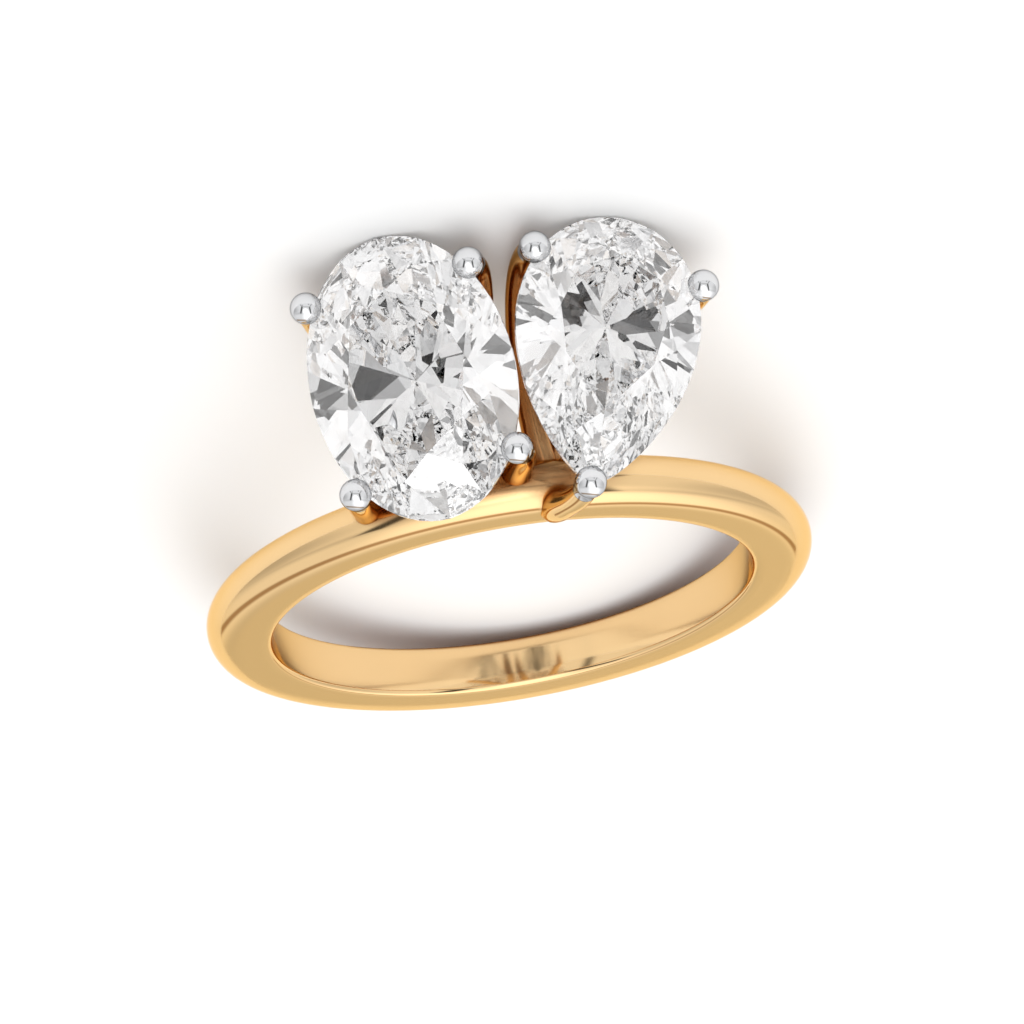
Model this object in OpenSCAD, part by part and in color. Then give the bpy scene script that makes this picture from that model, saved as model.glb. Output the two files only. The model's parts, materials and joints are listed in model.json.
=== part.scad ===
/* [Band] */
// Inside diameter of the finger hole
finger_d = 16.5; // [14:0.1:21]
// Width of the band, measured along the finger
band_w = 1.78; // [1.5:0.02:2.4]
// Thickness of the band under the stones
band_t_top = 1.92; // [1.5:0.02:2.4]
// Thickness of the band on the palm side
band_t_palm = 2.38; // [1.5:0.02:2.8]
// Rounding of the band's two inside edges
edge_r = 0.18; // [0.1:0.01:0.3]

/* [Oval stone] */
// Length of the oval stone
oval_l = 9.54; // [8:0.02:11]
// Width of the oval stone
oval_w = 6.74; // [6:0.02:7.4]
// Sideways place of the oval's middle, from the ring's middle plane
oval_x = -1.88; // [-3:0.01:-1.6]
// How far the oval's middle lies behind the band's middle
oval_back = 3.31; // [2.8:0.01:3.8]
// Height of the oval's girdle above the centre of the finger hole
oval_up = 12.31; // [12:0.01:13.4]
// Sideways tilt of the oval, away from the other stone
oval_tilt = -9; // [-14:0.5:-4]
// Turn of the oval about its own axis
oval_spin = 3.7; // [0:0.1:8]

/* [Pear stone] */
// Length of the pear stone
pear_l = 8.98; // [8:0.02:10]
// Width of the pear stone
pear_w = 6.08; // [5.4:0.02:6.6]
// How far the pear is drawn out to its point: 0 is an ellipse
pear_point = 0.54; // [0.3:0.02:1]
// Sideways place of the pear's middle, from the ring's middle plane
pear_x = 4.38; // [4.3:0.01:5.6]
// How far the pear's middle lies behind the band's middle
pear_back = 3.08; // [2.6:0.01:3.6]
// Height of the pear's girdle above the centre of the finger hole
pear_up = 12.23; // [12:0.01:13.4]
// Sideways tilt of the pear, away from the other stone
pear_tilt = 13; // [8:0.5:18]
// Turn of the pear about its own axis
pear_spin = -13.8; // [-18:0.1:-8]

/* [Cut] */
// Forward tilt of both stones
stone_lean = 8; // [4:0.5:12]
// Width of the table, as a share of the stone's width
table_share = 0.58; // [0.5:0.01:0.66]
// Height of the crown, as a share of the stone's width
crown_share = 0.145; // [0.1:0.005:0.18]
// Depth of the pavilion, as a share of the stone's width
pavilion_share = 0.425; // [0.38:0.005:0.46]
// Thickness of the girdle at the ends of the main facets
girdle_t = 0.24; // [0.2:0.01:0.4]

/* [Claws] */
// Thickness of the claw wires where they meet their white tips
claw_d = 0.8; // [0.6:0.02:1]
// Thickness of the claw wires where they leave the band
root_d = 0.94; // [0.7:0.02:1.1]
// Diameter of the round white tips
tip_d = 1.04; // [0.96:0.02:1.3]
// Height of the tips' middle above the girdle
tip_up = 0.35; // [0.2:0.01:0.5]
// Length of a white tip, from its middle down to the gold wire
collar = 0.8; // [0.76:0.01:0.9]

/* [Hidden] */
$fn = 96;

// Clearance of a stone in its claws, as a share of the stone's size
seat_clear = 0.012;
// Clearance between a white tip and its gold wire
joint_gap = 0.02;
// How much wider a tip's collar is at the ball than at the wire
collar_swell = 1.12;
// Steps of the claw wires: along the wire, round it, and on its rounded foot
wire_steps = 14;
wire_sides = 12;
foot_steps = 3;
// Main facets of a brilliant cut, and steps of the outline in each half of one
mains = 8;
arc_steps = 4;
// Height of the star tips between girdle and table, and of the lower halves
star_level = 0.69;
lower_level = 0.79;
// Half of the angle used to measure the direction of an outline
probe = 0.5;
// The search for the plane that the ring lies on: which way is down at first, and its rounds
first_guess = [0, 3, -1];
settle_rounds = 12;

finger_r = finger_d / 2;
band_r = finger_r + (band_t_top + band_t_palm) / 2;
band_drop = (band_t_palm - band_t_top) / 2;
dome_r = band_w / 2;
dome_path_r = band_r - dome_r;
root_r = finger_r + band_t_top / 2;

// Parameters, round the outline, of the eight main facets
oval_mains = [for (k = [0:mains]) k * 360 / mains];
pear_mains = [0, 70, 105, 140, 180, 220, 255, 290, 360];

// Claws: where the tip sits on the outline and how far outside it, angle of the root
// round the band and how far back it is, how far the wire first rises, sways to the side
// and runs back, how far it hangs straight below its tip, and how steeply it leaves the
// tip outwards
SEAT = 0;
OUT = 1;
ROOT = 2;
ROOT_BACK = 3;
RISE = 4;
SWAY = 5;
RUN = 6;
HANG = 7;
SLOPE = 8;
oval_claws = [
    [48.5, 0.24, 5, 0.4, 0.9, -0.2, -0.1, 0.7, 0.1],
    [128.5, 0.14, 2, 0.4, 0.4, -0.6, 2.2, 1.8, 0.12],
    [230, 0.18, -17, 0.4, 0.3, 0, 2.6, 1.9, 0.12],
    [311, 0.2, -24.5, 0.3, 1, 0, 0, 0.9, 0.12]];
pear_claws = [
    [352, 0.02, 12, -0.7, 1, 0, -0.35, 0.8, 0.24],
    [124, 0.17, 14.5, 0.4, 0.4, 0, 2, 1.9, 0.14],
    [229, 0.16, 12, 0.4, 0.5, -0.6, 2.8, 2.7, 0.1]];

// Turns about the three axes, as lists that multiply a point
function turn_x(a) = [[1, 0, 0], [0, cos(a), -sin(a)], [0, sin(a), cos(a)]];
function turn_y(a) = [[cos(a), 0, sin(a)], [0, 1, 0], [-sin(a), 0, cos(a)]];
function turn_z(a) = [[cos(a), -sin(a), 0], [sin(a), cos(a), 0], [0, 0, 1]];
function unit(v) = v / norm(v);

// Each stone's middle and turn, in the ring's own frame:
// X is to the side, Y to the back of the band and Z from the finger to the stones
oval_mid = [oval_x, oval_back, oval_up];
oval_turn = turn_y(oval_tilt) * turn_x(stone_lean) * turn_z(oval_spin);
pear_mid = [pear_x, pear_back, pear_up];
pear_turn = turn_y(pear_tilt) * turn_x(stone_lean) * turn_z(pear_spin);

// The pear is an ellipse whose width is drawn in towards its point at -Y
pear_widest = 2 * pow((pear_point + 1) / (pear_point + 2), (pear_point + 1) / 2)
    * sqrt(1 / (pear_point + 2));
pear_belly = pear_l / 2 * pear_point / (pear_point + 2);
function oval_edge(t) = [oval_w / 2 * sin(t), -oval_l / 2 * cos(t)];
function pear_edge(t) = [
    pear_w / 2 * sin(t) * pow(abs(sin(t / 2)), pear_point) / pear_widest,
    -pear_l / 2 * cos(t)];
function edge(is_pear, t) = is_pear ? pear_edge(t) : oval_edge(t);
function edge_way(is_pear, t) = unit(edge(is_pear, t + probe) - edge(is_pear, t - probe));
function edge_out(is_pear, t) = let (w = edge_way(is_pear, t)) [w[1], -w[0]];
function heart(is_pear) = [0, is_pear ? pear_belly : 0];
function mains_of(is_pear) = is_pear ? pear_mains : oval_mains;
function width_of(is_pear) = is_pear ? pear_w : oval_w;

// Where two neighbouring main facets meet, at a height where the cut has shrunk to share
function cross2(a, b) = a[0] * b[1] - a[1] * b[0];
function shrunk(is_pear, t, share) = heart(is_pear) + (edge(is_pear, t) - heart(is_pear)) * share;
function meet(is_pear, t1, t2, share) = let (
    p = shrunk(is_pear, t1, share),
    q = shrunk(is_pear, t2, share),
    u = edge_way(is_pear, t1),
    v = edge_way(is_pear, t2))
    p + u * cross2(q - p, v) / cross2(u, v);

// Height of a flat facet that rests on the line a to b at height 0 and rises by h over c
function over(a, b, c, h, p) = h * cross2(b - a, p - a) / cross2(b - a, c - a);

// All corners of a brilliant cut: table, star tips, upper and lower edge of the girdle,
// tips of the lower halves, and the culet
function cut_points(is_pear) = let (
    t = mains_of(is_pear),
    w = width_of(is_pear),
    g = girdle_t / 2,
    crown = w * crown_share,
    depth = w * pavilion_share,
    star_share = 1 - star_level * (1 - table_share),
    stars = [for (k = [0:mains - 1]) meet(is_pear, t[k], t[k + 1], star_share)],
    lows = [for (k = [0:mains - 1]) meet(is_pear, t[k], t[k + 1], 1 - lower_level)],
    table = [for (k = [0:mains - 1]) shrunk(is_pear, t[k], table_share)],
    rim = [for (k = [0:mains - 1], half = [0, 1], i = [0:arc_steps - 1]) let (
        mid = (t[k] + t[k + 1]) / 2,
        from = half == 0 ? t[k] : mid,
        to = half == 0 ? mid : t[k + 1],
        a = edge(is_pear, from),
        b = edge(is_pear, to),
        p = edge(is_pear, from + (to - from) * i / arc_steps))
        [p, over(a, b, stars[k], star_level * crown, p), over(a, b, lows[k], -lower_level * depth, p)]])
    concat(
        [for (p = table) [p[0], p[1], g + crown]],
        [for (p = stars) [p[0], p[1], g + star_level * crown]],
        [for (r = rim) [r[0][0], r[0][1], g + r[1]]],
        [for (r = rim) [r[0][0], r[0][1], -g + r[2]]],
        [for (p = lows) [p[0], p[1], -g - lower_level * depth]],
        [[heart(is_pear)[0], heart(is_pear)[1], -g - depth]]);

// The facets, as places in that list
ring_n = mains * 2 * arc_steps;
star_0 = mains;
top_0 = star_0 + mains;
low_edge_0 = top_0 + ring_n;
low_0 = low_edge_0 + ring_n;
culet = low_0 + mains;
function next(k) = (k + 1) % mains;
function rim_at(i) = (i + ring_n) % ring_n;
function half_arc(k, half) = [for (i = [0:arc_steps]) rim_at((2 * k + half) * arc_steps + i)];
cut_faces = concat(
    [[for (k = [mains - 1:-1:0]) k]],
    [for (k = [0:mains - 1]) [k, next(k), star_0 + k]],
    [for (k = [0:mains - 1])
        [k, star_0 + k, top_0 + 2 * k * arc_steps, star_0 + (k + mains - 1) % mains]],
    [for (k = [0:mains - 1], half = [0, 1]) let (arc = half_arc(k, half))
        concat([star_0 + k], [for (i = [arc_steps:-1:0]) top_0 + arc[i]])],
    [for (i = [0:ring_n - 1])
        [top_0 + i, top_0 + rim_at(i + 1), low_edge_0 + rim_at(i + 1), low_edge_0 + i]],
    [for (k = [0:mains - 1])
        [culet, low_0 + (k + mains - 1) % mains, low_edge_0 + 2 * k * arc_steps, low_0 + k]],
    [for (k = [0:mains - 1], half = [0, 1]) let (arc = half_arc(k, half))
        concat([low_0 + k], [for (i = arc) low_edge_0 + i])]);

oval_points = [for (p = cut_points(false)) oval_mid + oval_turn * p];
pear_points = [for (p = cut_points(true)) pear_mid + pear_turn * p];

// Middle of a claw's tip
function tip_mid(is_pear, row) = let (
    p = edge(is_pear, row[SEAT]) + edge_out(is_pear, row[SEAT]) * row[OUT])
    (is_pear ? pear_mid : oval_mid) + (is_pear ? pear_turn : oval_turn) * [p[0], p[1], tip_up];

// The way from a tip's gold wire up to the tip's middle
function tip_way(is_pear, row) = let (out = edge_out(is_pear, row[SEAT]) * row[SLOPE])
    (is_pear ? pear_turn : oval_turn) * unit([-out[0], -out[1], 1]);

// The curve of a claw wire, from its root inside the band to the foot of its tip
function wire_knots(is_pear, row) = let (
    radial = [sin(row[ROOT]), 0, cos(row[ROOT])],
    root = radial * root_r + [0, row[ROOT_BACK], 0],
    way = tip_way(is_pear, row),
    top = tip_mid(is_pear, row) - way * (collar + joint_gap))
    [root, root + radial * row[RISE] + [row[SWAY], row[RUN], 0], top - way * row[HANG], top];
function bend(k, s) = k[0] * pow(1 - s, 3) + k[1] * 3 * s * pow(1 - s, 2)
    + k[2] * 3 * s * s * (1 - s) + k[3] * pow(s, 3);
function bend_way(k, s) = unit((k[1] - k[0]) * pow(1 - s, 2) + (k[2] - k[1]) * 2 * s * (1 - s)
    + (k[3] - k[2]) * s * s);

// One ring of points square to a direction, of radius r round c
function ring_of(c, way, lead, r) = let (
    u = unit(lead - way * (lead * way)),
    v = cross(way, u))
    [for (i = [0:wire_sides - 1]) let (a = i * 360 / wire_sides) c + u * r * cos(a) + v * r * sin(a)];

// A round wire with a rounded foot
module wire(knots) {
    lead = [1, 0, 0];
    foot = [for (j = [1:foot_steps]) let (a = 90 * j / (foot_steps + 1))
        ring_of(knots[0] - bend_way(knots, 0) * root_d / 2 * cos(a), bend_way(knots, 0), lead,
            root_d / 2 * sin(a))];
    shaft = [for (j = [0:wire_steps]) let (s = j / wire_steps)
        ring_of(bend(knots, s), bend_way(knots, s), lead, root_d / 2 + (claw_d - root_d) / 2 * s)];
    rings = concat(foot, shaft);
    last = len(rings) - 1;
    points = [for (r = rings, p = r) p];
    faces = concat(
        [[for (i = [0:wire_sides - 1]) i]],
        [for (j = [0:last - 1], i = [0:wire_sides - 1]) let (k = (i + 1) % wire_sides)
            [j * wire_sides + i, (j + 1) * wire_sides + i, (j + 1) * wire_sides + k]],
        [for (j = [0:last - 1], i = [0:wire_sides - 1]) let (k = (i + 1) % wire_sides)
            [j * wire_sides + i, (j + 1) * wire_sides + k, j * wire_sides + k]],
        [[for (i = [wire_sides - 1:-1:0]) last * wire_sides + i]]);
    polyhedron(points, faces);
}

// How the ring lies by itself: on the back ends of both girdles and the back of the band.
// The band reaches furthest, in a direction d, on the round back edge of its palm side.
function farthest(points, d) = let (
    reach = [for (p = points) p * d],
    i = search(max(reach), reach)[0])
    points[i];
function band_reach(d) = let (f = unit([d[0], 0, d[2]]))
    [0, 0, -band_drop] + f * dome_path_r + d * dome_r;
function settled(d, rounds) = rounds == 0 ? d : let (
    a = farthest(oval_points, d),
    b = farthest(pear_points, d),
    c = band_reach(d),
    m = unit(cross(b - a, c - a)))
    settled(m * (m[1] > 0 ? 1 : -1), rounds - 1);
down = settled(unit(first_guess), settle_rounds);

// The floor's frame: Z up from the floor, Y from the stones to the palm side, X across
lie_z = -down;
lie_x = unit(cross([0, 0, -1], lie_z));
lie_y = cross(lie_z, lie_x);
tips = concat(
    [for (row = oval_claws) tip_mid(false, row)],
    [for (row = pear_claws) tip_mid(true, row)]);
stone_points = concat(oval_points, pear_points);
function reach(d) = max(concat([for (p = stone_points) p * d], [for (p = tips) p * d + tip_d / 2],
    [band_reach(d) * d]));
middle_x = (reach(lie_x) - reach(-lie_x)) / 2;
middle_y = (reach(lie_y) - reach(-lie_y)) / 2;
floor_z = -reach(-lie_z);
lie = [
    [lie_x[0], lie_x[1], lie_x[2], -middle_x],
    [lie_y[0], lie_y[1], lie_y[2], -middle_y],
    [lie_z[0], lie_z[1], lie_z[2], -floor_z],
    [0, 0, 0, 1]];

// The band before its hole is cut: a disc with a domed rim, which sits a little lower
// than the finger hole, so that the band is thicker on the palm side
module band() {
    translate([0, 0, -band_drop]) rotate([90, 0, 0]) rotate_extrude() {
        translate([0, -band_w / 2]) square([dome_path_r, band_w]);
        intersection() {
            translate([dome_path_r, 0]) circle(r = dome_r);
            translate([dome_path_r, -band_w / 2]) square([dome_r, band_w]);
        }
    }
}

// The true round bore with its two rounded edges
module finger_hole() {
    rotate([90, 0, 0]) cylinder(r = finger_r, h = band_w * 2, center = true);
    for (side = [0, 1]) mirror([0, side, 0]) rotate([90, 0, 0]) rotate_extrude() difference() {
        translate([finger_r - edge_r, band_w / 2 - edge_r]) square([2 * edge_r, 2 * edge_r]);
        translate([finger_r + edge_r, band_w / 2 - edge_r]) circle(r = edge_r);
    }
}

// Band and claw wires, soldered into one piece of gold
module ring_mount() {
    color("#e0b56c") multmatrix(lie) difference() {
        union() {
            band();
            for (row = oval_claws) wire(wire_knots(false, row));
            for (row = pear_claws) wire(wire_knots(true, row));
        }
        finger_hole();
    }
}

module oval_stone() {
    color("#eef2f8") multmatrix(lie) polyhedron(oval_points, cut_faces);
}

module pear_stone() {
    color("#eef2f8") multmatrix(lie) polyhedron(pear_points, cut_faces);
}

// A white tip: a ball on a short collar, with the stone's own seat cut into it
module tip(is_pear, row) {
    mid = is_pear ? pear_mid : oval_mid;
    way = tip_way(is_pear, row);
    color("#e4e6e9") multmatrix(lie) difference() {
        translate(tip_mid(is_pear, row)) rotate([0, acos(way[2]), atan2(way[1], way[0])]) {
            sphere(d = tip_d);
            translate([0, 0, -collar]) cylinder(d1 = claw_d, d2 = claw_d * collar_swell, h = collar);
        }
        translate(mid) scale(1 + seat_clear) translate(-mid)
            polyhedron(is_pear ? pear_points : oval_points, cut_faces);
    }
}

ring_mount();
oval_stone();
pear_stone();
tip(false, oval_claws[0]);  // oval_tip_1
tip(false, oval_claws[1]);  // oval_tip_2
tip(false, oval_claws[2]);  // oval_tip_3
tip(false, oval_claws[3]);  // oval_tip_4
tip(true, pear_claws[0]);  // pear_tip_1
tip(true, pear_claws[1]);  // pear_tip_2
tip(true, pear_claws[2]);  // pear_tip_3
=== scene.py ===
# %% [markdown]
# # A gold ring with an oval and a pear brilliant
# This lesson dresses a finished construction model of a ring. The construction is loaded first and
# is never moved: it says where each stone, claw and edge is. Everything made here sits around it,
# in metres, in the same frame. The ring lies on its side on a pale floor.

# %% Load the construction
import json
import math
import bmesh
import bpy
from mathutils import Matrix, Vector


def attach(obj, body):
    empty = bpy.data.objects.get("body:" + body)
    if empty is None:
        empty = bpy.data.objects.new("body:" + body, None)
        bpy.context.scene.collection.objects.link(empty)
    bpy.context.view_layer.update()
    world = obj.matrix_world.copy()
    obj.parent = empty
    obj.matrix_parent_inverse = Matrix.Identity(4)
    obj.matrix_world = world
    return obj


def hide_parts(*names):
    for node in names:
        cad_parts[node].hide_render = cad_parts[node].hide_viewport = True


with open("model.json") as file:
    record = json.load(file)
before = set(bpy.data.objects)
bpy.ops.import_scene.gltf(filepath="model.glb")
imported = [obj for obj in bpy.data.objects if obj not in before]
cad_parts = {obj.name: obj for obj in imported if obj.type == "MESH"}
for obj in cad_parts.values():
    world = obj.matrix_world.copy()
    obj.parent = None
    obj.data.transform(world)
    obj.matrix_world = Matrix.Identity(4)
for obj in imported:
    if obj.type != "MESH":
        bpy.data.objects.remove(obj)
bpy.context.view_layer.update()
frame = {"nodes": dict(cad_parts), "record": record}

scene = bpy.context.scene
print("nodes:", sorted(frame["nodes"]))

# %% [markdown]
# ## The ring's own frame
# A ring is easiest to think about as it sits on an upright finger: X to the side, Y to the back of
# the band, Z from the finger up to the stones, in millimetres. The construction states its finger
# hole as a mount, with a middle and an axis. That is enough to find this frame again in the lying
# ring, so no turn has to be typed in.

# %% Find the ring's frame
bore = frame["record"]["mounts"][0]
hole_axis = Vector(bore["axis"]).normalized()
ring_y = -hole_axis
ring_z = Vector((1, 0, 0)).cross(hole_axis).normalized()
ring_x = ring_y.cross(ring_z)
millimetre = 0.001
ring_turn = Matrix((ring_x, ring_y, ring_z)).transposed().to_4x4()
ring_place = Matrix.Translation(bore["pos_m"]) @ ring_turn @ Matrix.Scale(millimetre, 4)
finger_r = bore["dims"]["r_mm"]
print("head points to", [round(c, 3) for c in ring_z])

# %% [markdown]
# ## The camera
# The photograph was taken with a long lens from about 20 cm: the far side of the band is hardly
# smaller than the near one. The band's round hole looks like a narrow ellipse, which gives the
# angle between the view and the hole's axis, and the ellipse is turned a little in the picture. The
# camera is placed backwards here: first turn the ring's frame into the camera's, then step back.

# %% Place the camera
picture_side, focal_px = 1024, 6000.0  # pixels
tip_down, picture_turn = 0.342, 0.175  # radians
ring_from_camera = Vector((-0.084, -2.497, -203.53))  # millimetres
film_w = 36.0  # millimetres
nearest, farthest = 0.01, 20.0  # metres

camera_data = bpy.data.cameras.new("photo_camera")
camera_data.sensor_width = film_w
camera_data.lens = film_w * focal_px / picture_side
camera_data.clip_start = nearest
camera_data.clip_end = farthest
camera = bpy.data.objects.new("photo_camera", camera_data)
scene.collection.objects.link(camera)
scene.camera = camera
in_ring = (Matrix.Rotation(tip_down, 4, "X") @ Matrix.Rotation(-picture_turn, 4, "Z")
           @ Matrix.Translation(-ring_from_camera))
camera_spot = ring_place @ in_ring.translation
camera.matrix_world = Matrix.Translation(camera_spot) @ ring_turn @ in_ring.to_3x3().to_4x4()
view_way = camera.matrix_world.to_3x3() @ Vector((0, 0, -1))
print("camera looks down by", round(math.degrees(math.asin(-view_way.z)), 1), "degrees")

# %% [markdown]
# ## Making a piece
# Most pieces of a ring are round in some way, and each is modelled as a bmesh in the ring's frame.
# It then becomes an object at the origin, with its place in its mesh. Polished metal is shaded
# smooth, but where two of its faces meet at a clear angle the edge stays sharp.

# %% Helpers for pieces
sharp_over = math.radians(30.0)


def as_object(name, bm):
    """Puts a bmesh as it is into a new object of the scene."""
    mesh = bpy.data.meshes.new(name)
    bm.to_mesh(mesh)
    bm.free()
    made = bpy.data.objects.new(name, mesh)
    scene.collection.objects.link(made)
    return made


def finish_piece(name, bm, material):
    """Turns a bmesh in the ring's frame into a smooth piece of that material."""
    bmesh.ops.transform(bm, matrix=ring_place, verts=bm.verts)
    bmesh.ops.recalc_face_normals(bm, faces=bm.faces)
    piece = as_object(name, bm)
    piece.data.materials.append(material)
    piece.data.shade_smooth()
    piece.data.set_sharp_from_angle(angle=sharp_over)
    return piece


print("edges stay sharp over", round(math.degrees(sharp_over)), "degrees")

# %% [markdown]
# ## Making a finish
# A Principled shader does most of a finish: what is the same all over goes on its own sockets. What
# varies comes from a few small nodes, which these helpers make: noise that stays on its piece
# because it reads Object coordinates, a ramp, a mix of two colours, a sum, and a bump.

# %% Helper for materials
def new_material(name, **sockets):
    """A material whose shader has the given values on its own sockets."""
    material = bpy.data.materials.new(name)
    material.use_nodes = True
    nodes = material.node_tree.nodes
    shader = nodes["Principled BSDF"]
    for socket, value in sockets.items():
        shader.inputs[socket.replace("_", " ")].default_value = value
    return material, nodes, material.node_tree.links, shader


print("finishes so far:", len(bpy.data.materials))

# %% Helpers for noise and ramps
noise_low, noise_high = 0.3, 0.7


def noise_at(nodes, links, size, stretch=(1, 1, 1)):
    """Noise on Object coordinates with grains of about size, in metres, drawn out by stretch."""
    where = nodes.new("ShaderNodeTexCoord")
    mapping = nodes.new("ShaderNodeMapping")
    mapping.inputs["Scale"].default_value = [1 / axis for axis in stretch]
    noise = nodes.new("ShaderNodeTexNoise")
    noise.inputs["Scale"].default_value = 1 / size
    links.new(where.outputs["Object"], mapping.inputs["Vector"])
    links.new(mapping.outputs["Vector"], noise.inputs["Vector"])
    return noise.outputs["Fac"]


def ramp(nodes, links, value, start, end, low=0.0, high=1.0, kind="LINEAR"):
    """Low up to the start and high from the end on, with a steady or soft step between."""
    node = nodes.new("ShaderNodeMapRange")
    node.interpolation_type = kind
    for socket, number in (("From Min", start), ("From Max", end),
                           ("To Min", low), ("To Max", high)):
        node.inputs[socket].default_value = number
    links.new(value, node.inputs["Value"])
    return node.outputs["Result"]


print("noise mostly lies between", noise_low, "and", noise_high)

# %% Helpers for colours, sums and bumps
def tint(nodes, links, value, first, second):
    """A colour that runs from first to second with a value. Either may be another node's colour."""
    mix = nodes.new("ShaderNodeMix")
    mix.data_type = "RGBA"
    for socket, colour in (("A", first), ("B", second)):
        if isinstance(colour, tuple):
            mix.inputs[socket].default_value = (*colour, 1)
        else:
            links.new(colour, mix.inputs[socket])
    links.new(value, mix.inputs["Factor"])
    return mix.outputs["Result"]


def maths(nodes, links, operation, *values):
    """A maths node on numbers or on other nodes' results."""
    node = nodes.new("ShaderNodeMath")
    node.operation = operation
    for i, value in enumerate(values):
        if isinstance(value, (int, float)):
            node.inputs[i].default_value = value
        else:
            links.new(value, node.inputs[i])
    return node.outputs[0]


def scratch(nodes, links, shader, height, depth):
    """Turns a height into a bump of that depth, in metres."""
    bump = nodes.new("ShaderNodeBump")
    bump.inputs["Distance"].default_value = depth
    links.new(height, bump.inputs["Height"])
    links.new(bump.outputs["Normal"], shader.inputs["Normal"])


print("helpers:", [helper.__name__ for helper in (tint, maths, scratch)])

# %% [markdown]
# ## Polished yellow gold
# Polished gold is a mirror with a warm tint. What makes it look real is what it mirrors, and a
# little unevenness: the polish leaves patches that are slightly softer, and wear leaves hairlines.
# Both come from noise, at the scale of a real ring. Between the claws the polishing wheel doesn't
# reach, so the polish is softer there. The brown there is painted shade, in place of the shade and
# of gold mirroring gold: an Ambient Occlusion node measures how shut in each point is, and by it
# darkens the colour to brown and softens the polish.

# %% Yellow gold
bright_gold, soft_gold = (0.86, 0.60, 0.31), (0.82, 0.565, 0.285)
# Painted shade: the brown the gold's colour turns to where it is shut in between the claws
painted_shade_brown = (0.28, 0.095, 0.022)
gold_at_edges = (0.98, 0.8, 0.52, 1)
gold_polish, recess_softness = (0.07, 0.10), 0.1
gold_patch = 0.003
gold_hair, gold_hair_stretch, gold_hair_depth = 0.00012, (6, 1, 1), 0.00000005
recess_reach = 0.0025
open_from, shut_at = 0.85, 0.38

gold, nodes, links, shader = new_material("polished_yellow_gold", Metallic=1.0)
shader.inputs["Specular Tint"].default_value = gold_at_edges
# How shut in each point is, for the painted shade in the colour and for the softer polish
shut_in = nodes.new("ShaderNodeAmbientOcclusion")
shut_in.inputs["Distance"].default_value = recess_reach
painted_shade_and_softness = ramp(nodes, links, shut_in.outputs["AO"], open_from, shut_at, kind="SMOOTHSTEP")
patches = noise_at(nodes, links, gold_patch)
polished = tint(nodes, links, patches, bright_gold, soft_gold)
# Painted shade: the polished gold darkens to brown where it is shut in
links.new(tint(nodes, links, painted_shade_and_softness, polished, painted_shade_brown), shader.inputs["Base Color"])
polish = ramp(nodes, links, patches, noise_low, noise_high, *gold_polish)
softened = maths(nodes, links, "MULTIPLY_ADD", painted_shade_and_softness, recess_softness, polish)
links.new(softened, shader.inputs["Roughness"])
hairlines = noise_at(nodes, links, gold_hair, gold_hair_stretch)
scratch(nodes, links, shader, hairlines, gold_hair_depth)
print("material:", gold.name)

# %% [markdown]
# ## White gold for the tips
# The tips are white gold with a hard bright plating. It is paler and harder than the yellow gold,
# so its polish is tighter and its hairlines are finer.

# %% White gold
bright_white, soft_white = (0.74, 0.745, 0.755), (0.69, 0.695, 0.71)
white_at_edges = (0.38, 0.39, 0.4, 1)
white_polish = (0.04, 0.07)
white_patch = 0.001
white_hair, white_hair_stretch, white_hair_depth = 0.0001, (1, 5, 1), 0.00000003

white_gold, nodes, links, shader = new_material("plated_white_gold", Metallic=1.0)
shader.inputs["Specular Tint"].default_value = white_at_edges
patches = noise_at(nodes, links, white_patch)
links.new(tint(nodes, links, patches, bright_white, soft_white), shader.inputs["Base Color"])
polish = ramp(nodes, links, patches, noise_low, noise_high, *white_polish)
links.new(polish, shader.inputs["Roughness"])
hairlines = noise_at(nodes, links, white_hair, white_hair_stretch)
scratch(nodes, links, shader, hairlines, white_hair_depth)
print("material:", white_gold.name)

# %% [markdown]
# ## Diamond
# A brilliant needs no picture of sparkle: with a refractive index of 2.42 its own facets throw the
# light about inside and make the pattern of bright and dark wedges. The facets are flat in the
# construction, so the stones keep their construction meshes and only get this material. Clouds that
# are hardly there, cool to warm, keep it from being perfectly clear.

# %% Diamond
cool_clear, warm_clear = (0.92, 0.93, 0.95), (0.95, 0.935, 0.92)
cloud_size = 0.0015

diamond, nodes, links, shader = new_material(
    "diamond", Roughness=0.0, IOR=2.417, Transmission_Weight=1.0)
clouds = noise_at(nodes, links, cloud_size)
links.new(tint(nodes, links, clouds, cool_clear, warm_clear), shader.inputs["Base Color"])
for name in ("oval_stone", "pear_stone"):
    stone = frame["nodes"][name]
    stone.data.materials.clear()
    stone.data.materials.append(diamond)
    print(name, len(stone.data.polygons), "faces")

# %% [markdown]
# ## The band's section
# The band is plain: domed outside, flat on both sides and inside, with softened inner edges. So its
# section is a half circle and two small quarter circles, joined by straight stretches. They are cut
# into a few steps each, which keeps the faces even.

# %% The band's section
band_w = 1.78
band_t_top, band_t_palm = 1.92, 2.38
edge_r = 0.18
dome_steps, edge_steps, side_steps = 20, 5, 4
dome_r = band_w / 2
dome_path_r = finger_r + (band_t_top + band_t_palm) / 2 - dome_r


def arc(middle_r, middle_y, r, start, end, steps):
    """Points round an arc in the band's section, as (distance from the axis, place along it)."""
    angles = [math.radians(start + (end - start) * i / steps) for i in range(steps + 1)]
    return [(middle_r + r * math.cos(a), middle_y + r * math.sin(a)) for a in angles]


def line(first, last, steps):
    """Points inside a straight stretch, without its ends."""
    return [tuple(a + (b - a) * i / steps for a, b in zip(first, last)) for i in range(1, steps)]


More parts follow.
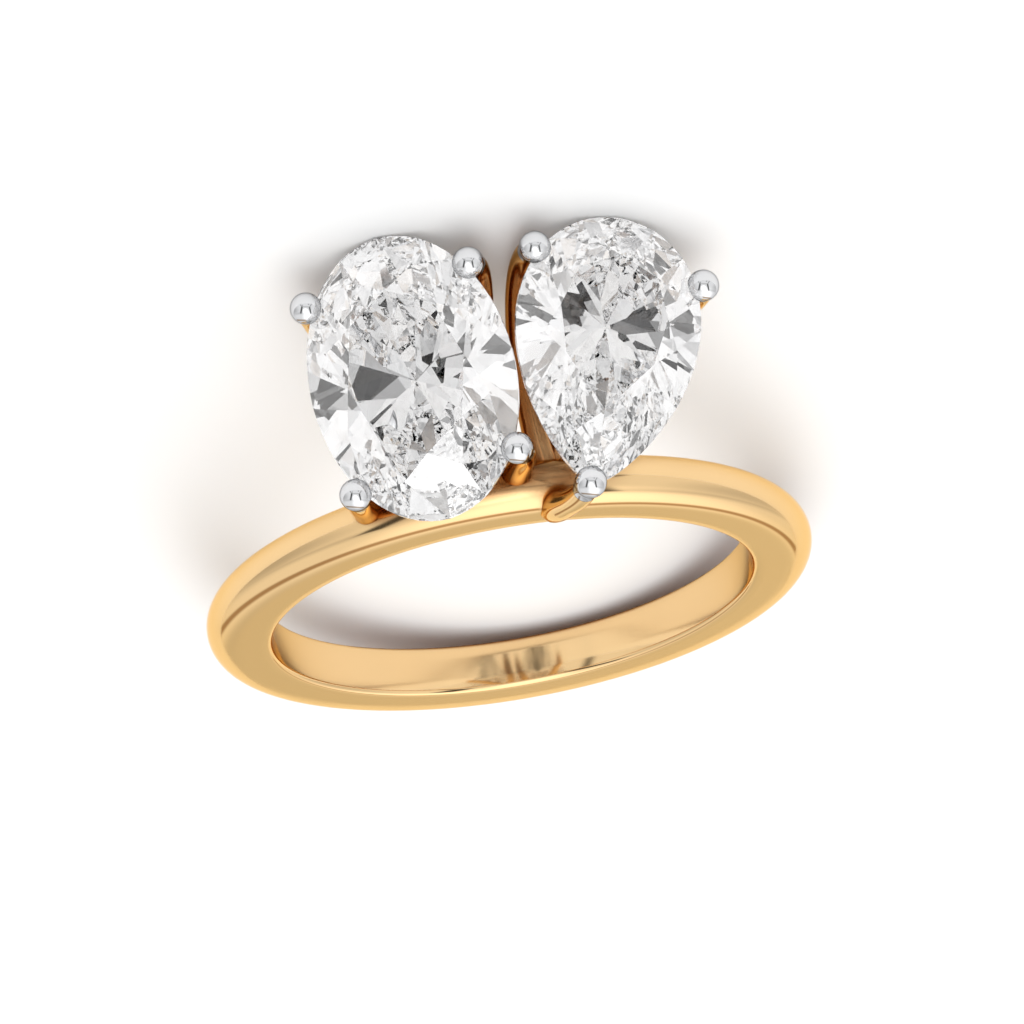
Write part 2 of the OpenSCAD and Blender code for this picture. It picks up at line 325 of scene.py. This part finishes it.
def band_section():
    """The whole closed section, starting at the front end of the dome."""
    dome = arc(dome_path_r, 0, dome_r, -90, 90, dome_steps)
    back_edge = arc(finger_r + edge_r, band_w / 2 - edge_r, edge_r, 90, 180, edge_steps)
    front_edge = arc(finger_r + edge_r, edge_r - band_w / 2, edge_r, 180, 270, edge_steps)
    return (dome + line(dome[-1], back_edge[0], side_steps) + back_edge
            + line(back_edge[-1], front_edge[0], side_steps) + front_edge
            + line(front_edge[-1], dome[0], side_steps))


print("band section:", len(band_section()), "points")

# %% [markdown]
# ## The band
# The section is spun once round the finger hole. The real band is a little thicker on the palm
# side, because its outer circle sits lower than the hole. So after the spin everything outside the
# straight sides is shifted down, which stretches only those flat sides.

# %% The band
spin_steps = 240
band_drop = (band_t_palm - band_t_top) / 2
just_inside = 0.001


def make_band():
    """The band as a closed bmesh in the ring's frame."""
    bm = bmesh.new()
    corners = [bm.verts.new((r, y, 0)) for r, y in band_section()]
    edges = [bm.edges.new((a, b)) for a, b in zip(corners, corners[1:] + corners[:1])]
    bmesh.ops.spin(bm, geom=corners + edges, cent=(0, 0, 0), axis=(0, 1, 0),
                   angle=2 * math.pi, steps=spin_steps, use_merge=True)
    outer = [v for v in bm.verts if math.hypot(v.co.x, v.co.z) > dome_path_r - just_inside]
    bmesh.ops.translate(bm, vec=(0, 0, -band_drop), verts=outer)
    return bm


mount = finish_piece("gold_mount", make_band(), gold)
print("band:", len(mount.data.polygons), "faces")

# %% [markdown]
# ## How the stones sit
# The two stones turn away from each other and lean forward a little. Each has a frame of its own,
# with Z out of its table and -Y to its lower end, in which its outline is a plain oval or pear. The
# claws are placed in these frames, so that they stay on the stones whatever the tilt.

# %% The stones' frames
def stone_frame(middle, tilt, lean, spin):
    """A stone's own frame in the ring's, from its middle and three turns in degrees."""
    place = Matrix.Translation(middle)
    for degrees, axis in ((tilt, "Y"), (lean, "X"), (spin, "Z")):
        place = place @ Matrix.Rotation(math.radians(degrees), 4, axis)
    return place


stone_lean = 8
frames = {
    "oval": stone_frame((-1.88, 3.31, 12.31), -9, stone_lean, 3.7),
    "pear": stone_frame((4.38, 3.08, 12.23), 13, stone_lean, -13.8)}
for name, place in frames.items():
    print(name, "looks to", [round(c, 2) for c in place.to_3x3() @ Vector((0, 0, 1))])

# %% The stones' outlines
oval_l, oval_w = 9.54, 6.74
pear_l, pear_w, pear_point = 8.98, 6.08, 0.54


def oval_edge(t):
    """A point on the oval's outline, by an angle from its lower end."""
    return Vector((oval_w / 2 * math.sin(t), -oval_l / 2 * math.cos(t), 0))


def pear_edge(t):
    """The same for the pear: an ellipse drawn in towards its point."""
    p = pear_point
    widest = 2 * ((p + 1) / (p + 2)) ** ((p + 1) / 2) / math.sqrt(p + 2)
    side = pear_w / 2 * math.sin(t) * abs(math.sin(t / 2)) ** p / widest
    return Vector((side, -pear_l / 2 * math.cos(t), 0))


edges_of = {"oval": oval_edge, "pear": pear_edge}
print("oval", oval_l, "x", oval_w, "mm, pear", pear_l, "x", pear_w, "mm")

# %% [markdown]
# ## Where the claws are
# A claw is a wire that leaves the band, runs up along the stone and ends in a round tip over its
# edge. Its place comes from the stone: a seat on the outline, given as an angle round it, and the
# stone's own tilt. The wire's root is an angle round the band. In between, four knots bend it.

# %% The claws' table
# Columns: stone, angle of the seat on the outline and how far outside it the tip's middle is, angle
# of the root round the band and how far back it is, how far the wire first rises, sways to the side
# and runs back, how far it hangs below its tip, and how steeply it leaves the tip outwards
claws = {
    "oval_tip_1": ("oval", 48.5, 0.24, 5, 0.4, 0.9, -0.2, -0.1, 0.7, 0.1),
    "oval_tip_2": ("oval", 128.5, 0.14, 2, 0.4, 0.4, -0.6, 2.2, 1.8, 0.12),
    "oval_tip_3": ("oval", 230, 0.18, -17, 0.4, 0.3, 0, 2.6, 1.9, 0.12),
    "oval_tip_4": ("oval", 311, 0.2, -24.5, 0.3, 1, 0, 0, 0.9, 0.12),
    "pear_tip_1": ("pear", 352, 0.02, 12, -0.7, 1, 0, -0.35, 0.8, 0.24),
    "pear_tip_2": ("pear", 124, 0.17, 14.5, 0.4, 0.4, 0, 2, 1.9, 0.14),
    "pear_tip_3": ("pear", 229, 0.16, 12, 0.4, 0.5, -0.6, 2.8, 2.7, 0.1)}
print(len(claws), "claws")

# %% The line of a claw
claw_d, root_d = 0.8, 0.94
tip_d, tip_up, collar = 1.04, 0.35, 0.64
root_r = finger_r + band_t_top / 2
joint_gap = 0.02
outline_step = math.radians(0.5)


def claw_lines(row):
    """A tip's middle, the way up to it, and the four knots of its wire's curve."""
    stone, seat, out_by, root_angle, root_back, rise, sway, run, hang, slope = row
    edge, place = edges_of[stone], frames[stone]
    t = math.radians(seat)
    along = (edge(t + outline_step) - edge(t - outline_step)).normalized()
    out = Vector((along.y, -along.x, 0))
    middle = place @ (edge(t) + out * out_by + Vector((0, 0, tip_up)))
    way = (place.to_3x3() @ Vector((-out.x * slope, -out.y * slope, 1))).normalized()
    a = math.radians(root_angle)
    radial = Vector((math.sin(a), 0, math.cos(a)))
    root = radial * root_r + Vector((0, root_back, 0))
    top = middle - way * (collar + joint_gap)
    return middle, way, (root, root + radial * rise + Vector((sway, run, 0)), top - way * hang, top)


print("tips at", [[round(c, 2) for c in claw_lines(row)[0]] for row in claws.values()])

# %% [markdown]
# ## Gold wires
# Each wire is a disc, extruded along its curve step by step. It starts with the growing discs of a
# rounded foot, and solder makes it a little thicker near its root. Extruding leaves the old cap
# where it was, and inside the wire it is deleted, so that the wire is a closed skin.

# %% A curve and its discs
def bezier(knots, s):
    """A point on the curve and its direction."""
    a, b, c, d = knots
    point = a * (1 - s) ** 3 + b * 3 * s * (1 - s) ** 2 + c * 3 * s * s * (1 - s) + d * s ** 3
    way = (b - a) * (1 - s) ** 2 + (c - b) * 2 * s * (1 - s) + (d - c) * s * s
    return point, way.normalized()


def station(point, way, r):
    """The frame of one disc of a wire: Z along it, scaled to its radius."""
    side = (Vector((1, 0, 0)) - way * way.x).normalized()
    turn = Matrix((side, way.cross(side), way)).transposed().to_4x4()
    return Matrix.Translation(point) @ turn @ Matrix.Scale(r, 4)


print("first wire leaves towards", bezier(claw_lines(claws["oval_tip_1"])[2], 0)[1])

# %% Wires
wire_sides, wire_steps, foot_steps = 24, 36, 6
flare, flare_reach = 0.06, 1.2


def wire_stations(knots):
    """The discs of a wire: its rounded foot first, then one for each step up to its tip."""
    steps = [bezier(knots, i / wire_steps)[0] for i in range(wire_steps + 1)]
    length = sum((after - before).length for before, after in zip(steps, steps[1:]))

    def radius(s):
        solder = flare * math.exp(-(s * length / flare_reach) ** 4)
        return root_d / 2 + (claw_d - root_d) / 2 * s + solder

    root, way = bezier(knots, 0)
    quarters = [math.pi / 2 * i / foot_steps for i in range(1, foot_steps)]
    foot = [station(root - way * radius(0) * math.cos(a), way, radius(0) * math.sin(a))
            for a in quarters]
    return foot + [station(*bezier(knots, i / wire_steps), radius(i / wire_steps))
                   for i in range(wire_steps + 1)]


def add_wire(bm, knots):
    """Sweeps a disc along the curve by extruding its cap."""
    stations = wire_stations(knots)
    made = bmesh.ops.create_circle(
        bm, cap_ends=True, segments=wire_sides, radius=1.0, matrix=stations[0])
    cap = made["verts"][0].link_faces[0]
    for before, after in zip(stations, stations[1:]):
        grown = bmesh.ops.extrude_face_region(bm, geom=[cap])
        if before is not stations[0]:
            bmesh.ops.delete(bm, geom=[cap], context="FACES_ONLY")
        moved = [item for item in grown["geom"] if isinstance(item, bmesh.types.BMVert)]
        cap = next(item for item in grown["geom"] if isinstance(item, bmesh.types.BMFace))
        bmesh.ops.transform(bm, matrix=after @ before.inverted(), verts=moved)


wires = bmesh.new()
for row in claws.values():
    add_wire(wires, claw_lines(row)[2])
wire_piece = finish_piece("wires", wires, gold)
print("wires:", len(wire_piece.data.polygons), "faces")

# %% [markdown]
# ## The mount
# The wires are soldered to the band, so a union joins them and cuts away what is inside: the mount
# is one closed skin. Light that has passed through a stone doesn't see the mount, because the
# photograph's stones show none of its gold.

# %% Helper for joining and cutting
def boolean(piece, other, operation):
    """Unites a piece with another, or cuts the other out of it, and removes the other."""
    modifier = piece.modifiers.new("solid", "BOOLEAN")
    modifier.object = other
    modifier.operation = operation
    modifier.solver = "EXACT"
    modifier.use_self = operation == "UNION"
    shown = piece.evaluated_get(bpy.context.evaluated_depsgraph_get())
    mesh = bpy.data.meshes.new_from_object(shown)
    piece.modifiers.clear()
    piece.data = mesh
    mesh.set_sharp_from_angle(angle=sharp_over)
    bpy.data.objects.remove(other)


boolean(mount, wire_piece, "UNION")
print("band and wires together:", len(mount.data.polygons), "faces")

# %% The mount
mount.visible_transmission = False
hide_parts("ring_mount")
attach(mount, "root")
print("the mount is", mount.name)

# %% [markdown]
# ## White tips
# A tip is a ball that was melted on the end of its wire, so it runs down into a short collar with a
# soft neck. Its section is spun once round. Then a slightly larger copy of the stone is cut out of
# it, as the setter cuts a seat, so the stone's edge lies in the tip without touching it.

# %% A tip's section
collar_swell = 1.12
ball_steps, neck_steps = 18, 8


def tip_section():
    """From the collar's foot up to the top of the ball, as (distance from the axis, height)."""
    foot_r, neck_r, ball_r = claw_d / 2, claw_d / 2 * collar_swell, tip_d / 2
    meet = math.acos(neck_r / ball_r)
    low = -ball_r * math.sin(meet)
    neck = [(foot_r + (neck_r - foot_r) * (i / neck_steps) ** 2,
             -collar + (low + collar) * i / neck_steps) for i in range(neck_steps)]
    ball = [(ball_r * math.cos(a), ball_r * math.sin(a))
            for a in (-meet + (math.pi / 2 + meet) * i / ball_steps for i in range(ball_steps + 1))]
    return [(0, -collar)] + neck + ball[:-1] + [(0, ball_r)]


print("tip section:", len(tip_section()), "points")

# %% A stone's seat
seat_clear = 1.012
merge_under = 0.000001  # metres


def seat_cutter(stone):
    """A copy of a stone, a little larger about its own middle."""
    bm = bmesh.new()
    bm.from_mesh(frame["nodes"][stone + "_stone"].data)
    bmesh.ops.remove_doubles(bm, verts=bm.verts, dist=merge_under)
    middle = ring_place @ frames[stone].translation
    bmesh.ops.scale(bm, vec=[seat_clear] * 3, space=Matrix.Translation(-middle), verts=bm.verts)
    return as_object("seat", bm)


print("seats are larger by", round(100 * (seat_clear - 1), 1), "percent")

# %% Tips
tip_spin = 48
pole_merge = 0.0005


def make_tip(row):
    """One tip as a closed bmesh in the ring's frame."""
    middle, way, _ = claw_lines(row)
    bm = bmesh.new()
    points = [bm.verts.new((r, 0, h)) for r, h in tip_section()]
    edges = [bm.edges.new(pair) for pair in zip(points, points[1:])]
    bmesh.ops.spin(bm, geom=points + edges, cent=(0, 0, 0), axis=(0, 0, 1),
                   angle=2 * math.pi, steps=tip_spin, use_merge=True)
    bmesh.ops.remove_doubles(bm, verts=bm.verts, dist=pole_merge)
    bmesh.ops.transform(bm, matrix=station(middle, way, 1.0), verts=bm.verts)
    return bm


for name, row in claws.items():
    tip = finish_piece("white_" + name, make_tip(row), white_gold)
    boolean(tip, seat_cutter(row[0]), "DIFFERENCE")
    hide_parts(name)
    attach(tip, "root")
    print(tip.name, len(tip.data.polygons), "faces")

# %% [markdown]
# ## Floor
# The floor is plain pale paper, so large that its ends stay out of sight, with a faint unevenness
# so that it isn't a flat colour.

# %% Floor
paper_white, paper_warm = (0.87, 0.87, 0.87), (0.89, 0.89, 0.885)
paper_patch, paper_shine = 0.02, 0.2
floor_cells, floor_half = 8, 1.5

paper, nodes, links, shader = new_material("pale_floor", Roughness=0.55)
shader.inputs["Specular IOR Level"].default_value = paper_shine
patches = noise_at(nodes, links, paper_patch)
links.new(tint(nodes, links, patches, paper_white, paper_warm), shader.inputs["Base Color"])
bm = bmesh.new()
bmesh.ops.create_grid(bm, x_segments=floor_cells, y_segments=floor_cells, size=floor_half)
floor = as_object("floor", bm)
floor.data.materials.append(paper)
print("floor:", 2 * floor_half, "m wide")

# %% [markdown]
# ## The light tent
# The light is that of a jeweller's tent: an even, bright surround of white cloth, whose grey seams
# give the metal its lines and the stones their dark facets. It could be built as a room of cloth,
# but drawn in the sky it throws no shadows and every seam can be put where it is needed.

# %% Helpers for the sky
world = bpy.data.worlds.new("tent")
scene.world = world
world.use_nodes = True
nodes, links = world.node_tree.nodes, world.node_tree.links
sky_way = nodes.new("ShaderNodeTexCoord").outputs["Generated"]


def sky(operation, *values):
    """A maths node of the sky."""
    return maths(nodes, links, operation, *values)


def part_along(direction):
    """How much of the looking direction lies along a fixed one."""
    dot = nodes.new("ShaderNodeVectorMath")
    dot.operation = "DOT_PRODUCT"
    dot.inputs[1].default_value = direction
    links.new(sky_way, dot.inputs[0])
    return dot.outputs["Value"]


def falloff(distance, edge, softness):
    """1 nearer than the edge and 0 beyond it, with a soft step between."""
    return ramp(nodes, links, distance, edge - softness, edge + softness, 1.0, 0.0, "SMOOTHSTEP")


print("sky:", world.name)

# %% [markdown]
# ## The sky as a ball's picture
# A mirror ball in front of the lens shows the whole surround as a round picture: the lens in its
# middle, the far side at its rim. Anything drawn in that picture turns up on the white tips just
# there, so this is the easiest place to design the tent. The lens's directions are fixed numbers
# here, so the tent stands still when the ring is seen from elsewhere. The picture's up is down in
# the room: the ring lies with its head towards the lens, and the photograph shows the head on top.

# %% The ball's picture
camera_turn = camera.matrix_world.to_3x3()
lens_way = -view_way
never_zero = 0.0001
halfway = sky("SQRT", sky("MULTIPLY_ADD", part_along(lens_way), 0.5, 0.5 + never_zero))
ball_x, ball_y = (
    sky("DIVIDE", part_along(camera_turn @ Vector(way)), sky("MULTIPLY", halfway, 2.0))
    for way in ((1, 0, 0), (0, 1, 0)))
print("lens towards", [round(c, 2) for c in lens_way])

# %% [markdown]
# ## Seams and spots
# The tent is white cloth with grey seams, where its sheets meet. Two tiny flags hang just where the
# flat tables of the stones would mirror the cloth, so that no haze lies over their wedges, and the
# sides are in soft shade. Each is a soft shape in the ball's picture.

# %% Helpers for seams and spots
def seam(start, end, half_width, softness):
    """How much a point of the ball's picture belongs to a straight seam between two points."""
    (x1, y1), (x2, y2) = start, end
    length = math.hypot(x2 - x1, y2 - y1)
    ux, uy = (x2 - x1) / length, (y2 - y1) / length
    along = sky("ADD", sky("MULTIPLY", ball_x, ux),
                sky("MULTIPLY_ADD", ball_y, uy, -(x1 * ux + y1 * uy)))
    across = sky("ADD", sky("MULTIPLY", ball_x, uy),
                 sky("MULTIPLY_ADD", ball_y, -ux, y1 * ux - x1 * uy))
    past = sky("MAXIMUM", sky("MULTIPLY", along, -1.0), sky("SUBTRACT", along, length))
    return falloff(sky("MAXIMUM", sky("ABSOLUTE", across), past), half_width, softness)


def spot(middle, radius, softness):
    """The same for a round spot."""
    dx, dy = (sky("SUBTRACT", place, offset) for place, offset in zip((ball_x, ball_y), middle))
    distance = sky("SQRT", sky("ADD", sky("MULTIPLY", dx, dx), sky("MULTIPLY", dy, dy)))
    return falloff(distance, radius, softness)


def darkest(shape, rows):
    """The darkest of several seams or spots, each with its own strength."""
    dark = 0.0
    for *place, strength in rows:
        dark = sky("MAXIMUM", sky("MULTIPLY", shape(*place), strength), dark)
    return dark


print("the sky has", len(nodes), "nodes")

# %% Seams and flags
# Columns: start and end in the ball's picture, half width, softness, how dark
seams = darkest(seam, (
    ((-0.24, 0.10), (-0.60, 0.68), 0.018, 0.02, 0.9),
    ((0.26, 0.08), (0.62, 0.66), 0.018, 0.02, 0.9),
    ((-0.22, 0.06), (-0.29, -0.28), 0.05, 0.03, 1.0),
    ((0.26, 0.03), (0.33, -0.29), 0.045, 0.03, 1.0),
    ((-0.24, 0.10), (0.26, 0.08), 0.02, 0.035, 0.6),
    ((-0.29, -0.30), (-0.75, -0.34), 0.05, 0.09, 0.35),
    ((0.33, -0.30), (0.75, -0.34), 0.05, 0.09, 0.35)))
# Columns: middle in the ball's picture, radius, softness, how dark
flags = darkest(spot, (
    ((-0.195, 0.18), 0.028, 0.012, 1.0),
    ((0.193, 0.243), 0.028, 0.012, 1.0),
    ((-0.75, -0.12), 0.25, 0.2, 0.4),
    ((0.8, -0.12), 0.2, 0.15, 0.3)))
print("the sky has", len(nodes), "nodes")

# %% [markdown]
# ## What brilliants look back at
# A brilliant throws most of what comes in back towards the lens, so its wedges show what is around
# the lens: a jeweller's tent has a dark card with a hole there. It would blot the white tips, so
# here only light that has come through a stone meets it. The Light Path node tells which light that
# is.

# %% The card round the lens
through_stone = nodes.new("ShaderNodeLightPath").outputs["Is Transmission Ray"]
not_through = sky("SUBTRACT", 1.0, through_stone)
# Columns: middle in the ball's picture, radius, softness, how dark
card = darkest(spot, (((-0.06, 0.0), 0.21, 0.03, 1.0), ((-0.25, -0.45), 0.13, 0.05, 0.7)))
print("the sky has", len(nodes), "nodes")

# %% [markdown]
# ## The cloth
# All of it comes together in one grey: white cloth, a little darker near the ground on the far
# side, less where a seam or the card is, and more where a lamp glows through it. A narrow strip of
# brown cloth high on the far side, which the stones don't show, draws a darker line along the foot
# of the band's dome.

# %% The cloth
tent_white, seam_grey = 1.0, 0.08
low_edge, low_softness, low_dark = -0.86, 0.07, 0.28
lamp_place, lamp_glow = ((0.0, -0.17), 0.15, 0.06), 0.8
haze_place, haze_glow = ((0.2, -0.5), 0.3, 0.2), 0.75

lamp = sky("MULTIPLY", spot(*lamp_place), lamp_glow)
haze = sky("MULTIPLY", spot(*haze_place), haze_glow)
glow = sky("MULTIPLY", sky("ADD", lamp, haze), not_through)
low_part = sky("MULTIPLY", falloff(ball_y, low_edge, low_softness), low_dark)
cloth = sky("SUBTRACT", sky("ADD", glow, tent_white), low_part)
drawn = sky("MAXIMUM", sky("MULTIPLY", seams, 1.0 - seam_grey), flags)
marks = sky("MAXIMUM", drawn, sky("MULTIPLY", card, through_stone))
grey = sky("MULTIPLY", cloth, sky("SUBTRACT", 1.0, marks))
print("tent white:", tent_white, "seams:", seam_grey)

# %% The strip, and the sky's colour
strip_place = ((-0.66, -0.70), (0.60, -0.80), 0.045, 0.03)
no_tint, strip_brown = (1.0, 1.0, 1.0), (0.45, 0.34, 0.25)

strip = sky("MULTIPLY", seam(*strip_place), not_through)
lit = nodes.new("ShaderNodeVectorMath")
lit.operation = "SCALE"
links.new(tint(nodes, links, strip, no_tint, strip_brown), lit.inputs[0])
links.new(grey, lit.inputs["Scale"])
tent = nodes["Background"]
tent.inputs["Strength"].default_value = 1.0
links.new(lit.outputs["Vector"], tent.inputs["Color"])
print("the sky has", len(nodes), "nodes")

# %% [markdown]
# ## A lamp above
# One large soft panel above the ring lifts the floor to white. Mirrors and stones would show it as
# a hard square, so it is hidden from them.

# %% The panel
target = ring_place @ Vector((1, 2, 8))
panel_height = math.radians(78)
panel_distance = 0.4
panel_sides = (0.5, 0.35)
panel_glow = 0.75

light = bpy.data.lights.new("panel_top", "AREA")
light.shape = "RECTANGLE"
light.size, light.size_y = panel_sides
light.energy = panel_glow * math.pi * panel_sides[0] * panel_sides[1]
panel_way = Vector((0, -math.cos(panel_height), math.sin(panel_height)))
panel = bpy.data.objects.new("panel_top", light)
panel.location = target + panel_way * panel_distance
panel.rotation_mode = "QUATERNION"
panel.rotation_quaternion = panel_way.to_track_quat("Z", "Y")
panel.visible_glossy = False
panel.visible_transmission = False
scene.collection.objects.link(panel)
print("panel at", [round(c, 2) for c in panel.location])

# %% [markdown]
# ## Bounces and colours
# Light bounces many times inside a brilliant and between the wires, so the limits on bounces are
# high: with low ones the stones get black grains. The Standard view shows white paper as white.

# %% Bounces and colours
most_bounces = 32
scene.cycles.max_bounces = most_bounces
scene.cycles.transmission_bounces = most_bounces
scene.cycles.glossy_bounces = most_bounces
scene.view_settings.view_transform = "Standard"
print("at most", most_bounces, "bounces")
